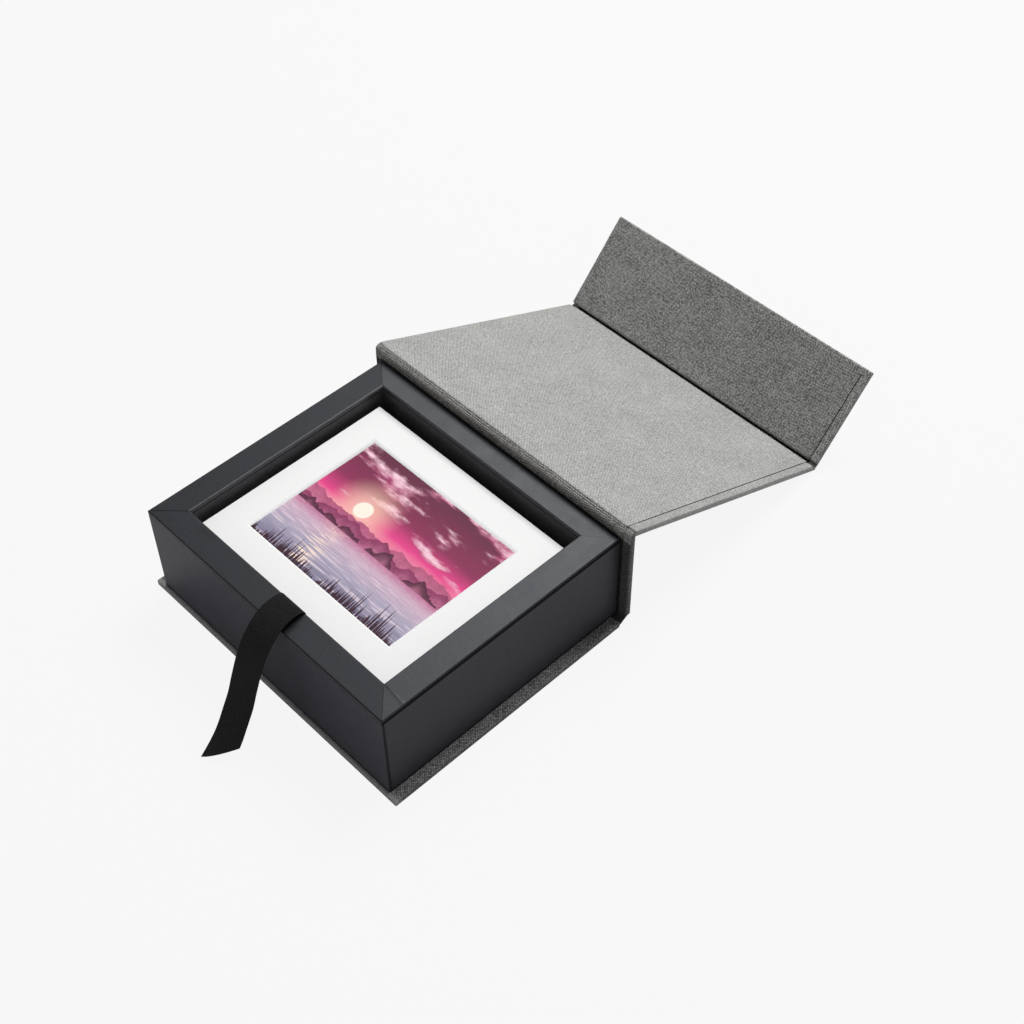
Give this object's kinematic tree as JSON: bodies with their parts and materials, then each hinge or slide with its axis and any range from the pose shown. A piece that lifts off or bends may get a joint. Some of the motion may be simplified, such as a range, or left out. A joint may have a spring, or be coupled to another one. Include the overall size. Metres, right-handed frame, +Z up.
{
  "type": "photo storage box",
  "caption": "Book-style cloth-covered box, open: a lid with a front flap folds back from the spine of a case holding a deep tray of matted prints, with a ribbon to lift them.",
  "frame": {"origin": "on the underside of the base, below the middle of the tray", "axes": "+X to the right along the front, +Y back to the spine and the open lid, +Z up"},
  "size_m": [0.216, 0.4578, 0.0792],
  "materials": {
    "book_cloth": "grey linen book cloth, plain weave, matt",
    "cloth_lining": "the same grey linen book cloth, pasted on thin card",
    "black_paper": "black covering paper, fine tooth, matt",
    "black_card": "black card, matt",
    "greyboard": null,
    "magnet": "nickel-plated disc magnet",
    "ribbon": "black grosgrain ribbon",
    "mat_board": "white conservation mat board with a white core",
    "photo_paper": "lustre photographic paper",
    "backing_board": "white backing board"
  },
  "bodies": {
    "box": {"base_board": "greyboard", "base_cover_cloth": "book_cloth", "base_lining": "cloth_lining", "spine_board": "greyboard", "spine_cover_cloth": "book_cloth", "spine_lining": "cloth_lining", "lid_hinge_cloth": "book_cloth", "lid_hinge_lining": "cloth_lining", "tray_floor_board": "greyboard", "outer_wall_front": "greyboard", "outer_wall_back": "greyboard", "outer_wall_left": "greyboard", "outer_wall_right": "greyboard", "inner_wall_front": "greyboard", "inner_wall_back": "greyboard", "inner_wall_left": "greyboard", "inner_wall_right": "greyboard", "rim_board_front": "greyboard", "rim_board_right": "greyboard", "rim_board_back": "greyboard", "rim_board_left": "greyboard", "rim_paper_front": "black_paper", "rim_paper_right": "black_paper", "rim_paper_back": "black_paper", "rim_paper_left": "black_paper", "outer_wall_paper": "black_paper", "well_lining": "black_paper", "floor_lining": "black_card", "front_wall_magnets": "magnet", "ribbon_lift": "ribbon", "ribbon_tail": "ribbon"},
    "lid": {"lid_board": "greyboard", "lid_cover_cloth": "book_cloth", "lid_lining": "cloth_lining", "flap_hinge_cloth": "book_cloth", "flap_hinge_lining": "cloth_lining"},
    "flap": {"flap_board": "greyboard", "flap_cover_cloth": "book_cloth", "flap_lining": "cloth_lining", "flap_magnets": "magnet"},
    "print_pile": {"pile_backing_boards": "backing_board", "pile_photo_prints": "photo_paper", "pile_window_mats": "mat_board"},
    "matted_print_3": {"backing_board_3": "backing_board", "photo_print_3": "photo_paper", "window_mat_3": "mat_board"},
    "matted_print_2": {"backing_board_2": "backing_board", "photo_print_2": "photo_paper", "window_mat_2": "mat_board"},
    "matted_print_1": {"backing_board_1": "backing_board", "photo_print_1": "photo_paper", "window_mat_1": "mat_board"}
  },
  "joints": [
    {"name": "lid_hinge", "type": "hinge", "parent": "box", "child": "lid", "pos_m": [0, 0.0926, 0.0752], "axis": [-1, 0, 0], "range_deg": [-203.56, 0], "deforming": ["lid_hinge_cloth", "lid_hinge_lining", "ribbon_tail"]},
    {"name": "flap_hinge", "type": "hinge", "parent": "lid", "child": "flap", "pos_m": [0, 0.26364, 0.0006], "axis": [-1, 0, 0], "range_deg": [-18.7, 47.7], "deforming": ["flap_hinge_cloth", "flap_hinge_lining"]},
    {"name": "pile_lift", "type": "slide", "parent": "box", "child": "print_pile", "axis": [0, 0, 1], "range_m": [0, 0.07], "deforming": ["ribbon_lift"]},
    {"name": "print_3_lift", "type": "slide", "parent": "print_pile", "child": "matted_print_3", "axis": [0, 0, 1], "range_m": [0, 0.03]},
    {"name": "print_2_lift", "type": "slide", "parent": "matted_print_3", "child": "matted_print_2", "axis": [0, 0, 1], "range_m": [0, 0.03]},
    {"name": "print_1_lift", "type": "slide", "parent": "matted_print_2", "child": "matted_print_1", "axis": [0, 0, 1], "range_m": [0, 0.03]}
  ]
}
